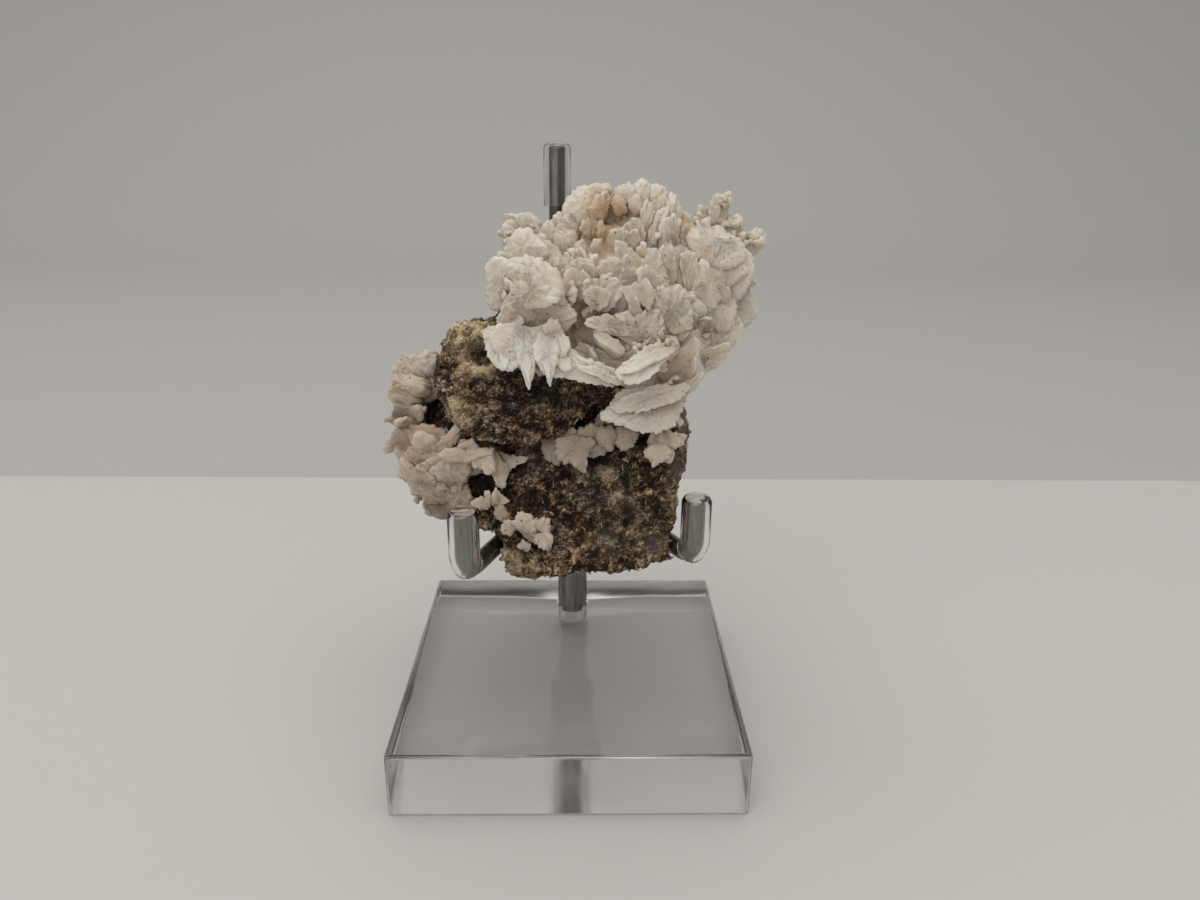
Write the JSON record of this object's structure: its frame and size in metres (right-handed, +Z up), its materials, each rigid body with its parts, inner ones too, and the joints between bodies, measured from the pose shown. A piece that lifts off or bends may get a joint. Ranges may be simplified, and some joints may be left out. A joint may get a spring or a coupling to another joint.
{
  "type": "calcite specimen on display stand",
  "caption": "Cluster of white bladed calcite on brown matrix, held upright by padded steel prongs on a square clear acrylic block.",
  "frame": {"origin": "centre of the acrylic base's underside", "axes": "+Z up along the post, -Y the front of the stand, +X to the viewer's right"},
  "size_m": [0.0705, 0.0636, 0.1115],
  "materials": {
    "acrylic": "polished",
    "steel": "satin",
    "vinyl": "gloss",
    "limestone": "matte",
    "calcite_white": "satin",
    "calcite_peach": "satin"
  },
  "bodies": {
    "root": {"base": "acrylic", "post": "steel", "hub": "steel", "back_rod": "steel", "arm_left": "steel", "arm_right": "steel", "tip_back": "vinyl", "tip_left": "vinyl", "tip_right": "vinyl", "matrix": "limestone", "upper_rosette": "calcite_white", "left_crust": "calcite_peach", "ledge_crystals": "calcite_white", "right_floret": "calcite_white", "lower_sprig": "calcite_peach", "small_sprig": "calcite_peach"}
  },
  "joints": []
}
